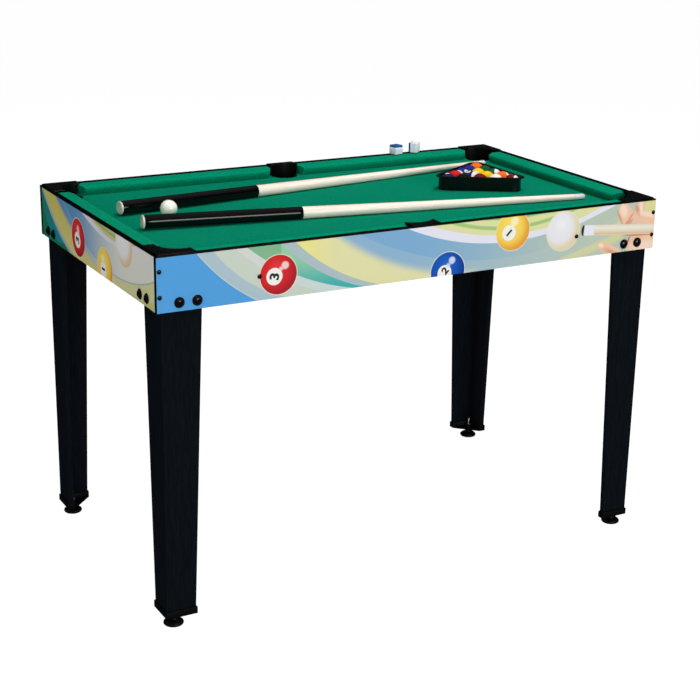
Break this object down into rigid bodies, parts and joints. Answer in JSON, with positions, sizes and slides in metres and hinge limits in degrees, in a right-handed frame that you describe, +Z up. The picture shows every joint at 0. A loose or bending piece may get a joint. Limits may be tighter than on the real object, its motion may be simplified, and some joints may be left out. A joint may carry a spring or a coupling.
{
  "type": "pool table",
  "caption": "Knock-down pool table: printed frame, cloth-covered board and cushions, drop pockets, tapered L-section legs, with cues, racked balls and chalk.",
  "frame": {"origin": "on the floor, under the middle of the table", "axes": "+X along the table, -Y towards the front long side, +Z up"},
  "size_m": [1.2314, 0.724, 0.8353],
  "materials": {
    "printed_panel": "satin",
    "playing_board": "raw board",
    "cloth": "napped",
    "cushion_cloth": "napped",
    "pocket_plastic": "satin",
    "beam_wood": "raw board",
    "leg_laminate": "satin",
    "cap_plastic": "satin",
    "foot_plastic": "satin",
    "zinc_steel": "zinc plated",
    "black_steel": "black oxide",
    "cue_bumper_plastic": "gloss",
    "cue_lacquer": "gloss lacquer",
    "cue_maple": "clear lacquer",
    "cue_ferrule_plastic": "gloss",
    "cue_tip_leather": "matte",
    "rack_plastic": "satin",
    "ball_resin": "polished",
    "cue_ball_resin": "polished",
    "chalk": "dusty"
  },
  "bodies": {
    "root": {"front_apron": "printed_panel", "rear_apron": "printed_panel", "left_apron": "printed_panel", "right_apron": "printed_panel", "playfield_board": "playing_board", "playfield_cloth": "cloth", "cushion_front_left": "cushion_cloth", "cushion_front_right": "cushion_cloth", "cushion_rear_left": "cushion_cloth", "cushion_rear_right": "cushion_cloth", "cushion_left": "cushion_cloth", "cushion_right": "cushion_cloth", "pocket_front_left": "pocket_plastic", "pocket_front_middle": "pocket_plastic", "pocket_front_right": "pocket_plastic", "pocket_rear_left": "pocket_plastic", "pocket_rear_middle": "pocket_plastic", "pocket_rear_right": "pocket_plastic", "cross_beam_left": "beam_wood", "cross_beam_right": "beam_wood", "leg_front_left_wide_board": "leg_laminate", "leg_front_right_wide_board": "leg_laminate", "leg_rear_left_wide_board": "leg_laminate", "leg_rear_right_wide_board": "leg_laminate", "leg_front_left_side_board": "leg_laminate", "leg_front_right_side_board": "leg_laminate", "leg_rear_left_side_board": "leg_laminate", "leg_rear_right_side_board": "leg_laminate", "leg_cap_front_left": "cap_plastic", "leg_cap_front_right": "cap_plastic", "leg_cap_rear_left": "cap_plastic", "leg_cap_rear_right": "cap_plastic", "foot_nuts": "zinc_steel", "leg_bolts": "black_steel", "leg_washers": "black_steel", "leg_tee_nuts": "zinc_steel", "apron_screws": "black_steel"},
    "foot_front_left": {"foot_pad_front_left": "foot_plastic", "foot_stud_front_left": "zinc_steel"},
    "foot_front_right": {"foot_pad_front_right": "foot_plastic", "foot_stud_front_right": "zinc_steel"},
    "foot_rear_left": {"foot_pad_rear_left": "foot_plastic", "foot_stud_rear_left": "zinc_steel"},
    "foot_rear_right": {"foot_pad_rear_right": "foot_plastic", "foot_stud_rear_right": "zinc_steel"},
    "front_cue": {"front_cue_bumper": "cue_bumper_plastic", "front_cue_butt": "cue_lacquer", "front_cue_shaft": "cue_maple", "front_cue_ferrule": "cue_ferrule_plastic", "front_cue_tip": "cue_tip_leather"},
    "rear_cue": {"rear_cue_bumper": "cue_bumper_plastic", "rear_cue_butt": "cue_lacquer", "rear_cue_shaft": "cue_maple", "rear_cue_ferrule": "cue_ferrule_plastic", "rear_cue_tip": "cue_tip_leather"},
    "ball_rack": {"ball_rack": "rack_plastic"},
    "object_balls": {"object_balls": "ball_resin"},
    "cue_ball": {"cue_ball": "cue_ball_resin"},
    "chalk_left": {"chalk_left": "chalk"},
    "chalk_right": {"chalk_right": "chalk"}
  },
  "joints": [
    {"name": "foot_front_left_height", "type": "slide", "parent": "root", "child": "foot_front_left", "axis": [0, 0, -1], "range_m": [0, 0.012]},
    {"name": "foot_front_right_height", "type": "slide", "parent": "root", "child": "foot_front_right", "axis": [0, 0, -1], "range_m": [0, 0.012]},
    {"name": "foot_rear_left_height", "type": "slide", "parent": "root", "child": "foot_rear_left", "axis": [0, 0, -1], "range_m": [0, 0.012]},
    {"name": "foot_rear_right_height", "type": "slide", "parent": "root", "child": "foot_rear_right", "axis": [0, 0, -1], "range_m": [0, 0.012]},
    {"name": "front_cue_lift", "type": "slide", "parent": "root", "child": "front_cue", "axis": [0, 0, 1], "range_m": [0, 0.2]},
    {"name": "rear_cue_lift", "type": "slide", "parent": "root", "child": "rear_cue", "axis": [0, 0, 1], "range_m": [0, 0.2]},
    {"name": "ball_rack_lift", "type": "slide", "parent": "root", "child": "ball_rack", "axis": [0, 0, 1], "range_m": [0, 0.12]},
    {"name": "object_balls_lift", "type": "slide", "parent": "root", "child": "object_balls", "axis": [0, 0, 1], "range_m": [0, 0.12]},
    {"name": "cue_ball_lift", "type": "slide", "parent": "root", "child": "cue_ball", "axis": [0, 0, 1], "range_m": [0, 0.12]},
    {"name": "chalk_left_lift", "type": "slide", "parent": "root", "child": "chalk_left", "axis": [0, 0, 1], "range_m": [0, 0.12]},
    {"name": "chalk_right_lift", "type": "slide", "parent": "root", "child": "chalk_right", "axis": [0, 0, 1], "range_m": [0, 0.12]}
  ]
}
